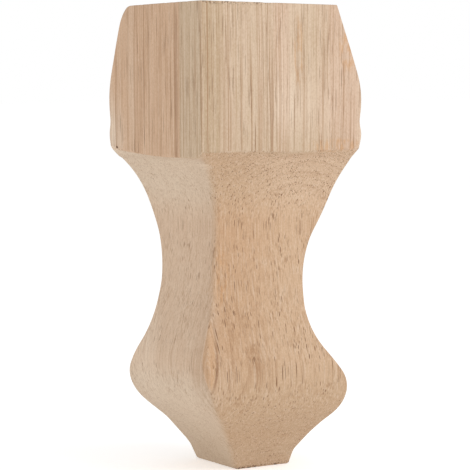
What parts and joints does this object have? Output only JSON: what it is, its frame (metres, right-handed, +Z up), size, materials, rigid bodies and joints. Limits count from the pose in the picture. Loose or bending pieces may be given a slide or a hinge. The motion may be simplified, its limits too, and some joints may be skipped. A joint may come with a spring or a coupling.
{
  "type": "table leg",
  "caption": "Shaped wooden leg cut from one square block: two flat inner faces, a swelling knee, a waisted neck and a bulge that tapers to a small square foot.",
  "frame": {"origin": "on the floor, on the centre line of the square block", "axes": "+Z up along the leg; the flat inner faces look towards -X and -Y, the swelling outer faces towards +X and +Y"},
  "size_m": [0.09, 0.09, 0.228],
  "materials": {
    "wood": "bare, sanded, pale pinkish tan with fine brown pores"
  },
  "bodies": {
    "root": {"leg": "wood"}
  },
  "joints": []
}
